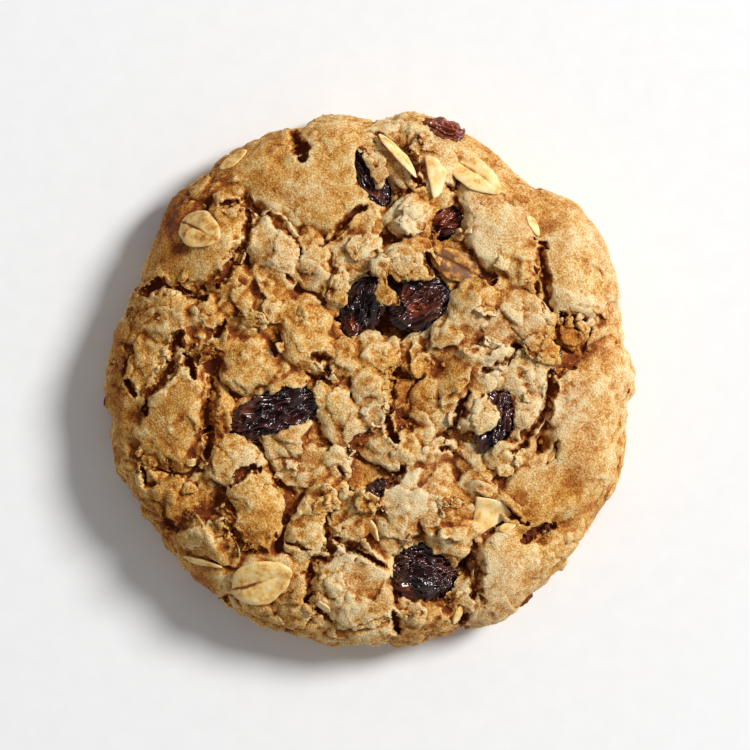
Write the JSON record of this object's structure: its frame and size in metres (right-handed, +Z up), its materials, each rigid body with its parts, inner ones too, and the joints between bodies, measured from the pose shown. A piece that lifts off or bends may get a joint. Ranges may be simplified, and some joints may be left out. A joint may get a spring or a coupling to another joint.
{
  "type": "oatmeal raisin cookie",
  "caption": "Thick round oatmeal raisin cookie: a craggy, lumpy round of golden baked oat dough with bare oat flakes on it and dark wrinkled raisins set in its top.",
  "frame": {"origin": "on the table, under the middle of the cookie", "axes": "+Z up through the cookie's thickness, +X to the right and +Y to the back as it is seen from above"},
  "size_m": [0.0758, 0.077, 0.0169],
  "materials": {
    "baked_dough": "dry, sandy baked crumb, golden with darker browned edges and cracks",
    "raisin": "dark, glossy, wrinkled dried fruit skin"
  },
  "bodies": {
    "root": {"cookie_dough": "baked_dough", "raisin_left": "raisin", "raisin_middle": "raisin", "raisin_under_flap": "raisin", "raisin_front": "raisin", "raisin_back": "raisin", "raisin_right": "raisin", "raisin_rim": "raisin", "raisin_pit": "raisin", "raisin_crack_right": "raisin", "raisin_crack_front": "raisin"}
  },
  "joints": []
}
